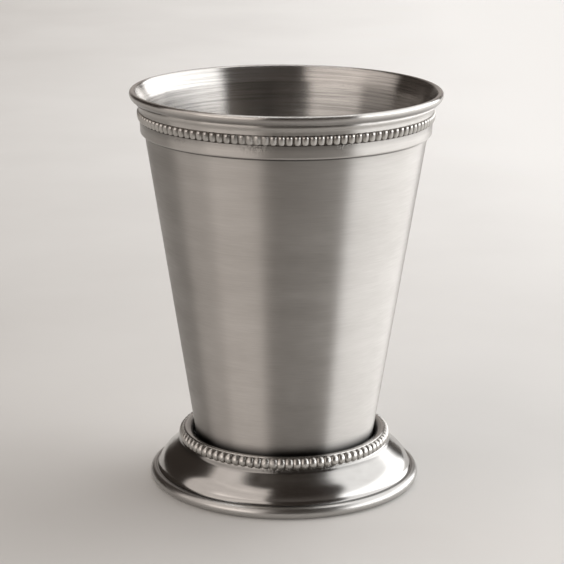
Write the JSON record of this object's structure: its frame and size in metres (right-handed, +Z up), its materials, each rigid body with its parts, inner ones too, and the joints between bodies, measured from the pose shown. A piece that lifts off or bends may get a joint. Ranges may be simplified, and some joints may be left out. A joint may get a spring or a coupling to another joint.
{
  "type": "julep cup",
  "caption": "Tapered metal julep cup with a rolled lip, a beaded collar round the mouth and a flared, beaded foot with a rolled edge.",
  "frame": {"origin": "centre of the circle that the foot stands on, on the table", "axes": "+Z up along the cup's axis, towards the mouth. The cup is round, so +X and +Y are any two directions across it. -Y faces the viewer of the picture"},
  "size_m": [0.0886, 0.0886, 0.1145],
  "materials": {
    "brushed_metal": "fine brushing round the axis, satin, slightly warm grey",
    "polished_metal": "worn polish with faint turning marks",
    "solder": "matt, as it cooled"
  },
  "bodies": {
    "root": {"beaker": "brushed_metal", "rim_collar": "brushed_metal", "rim_beading": "polished_metal", "foot": "polished_metal", "foot_beading": "polished_metal", "foot_solder": "solder"}
  },
  "joints": []
}
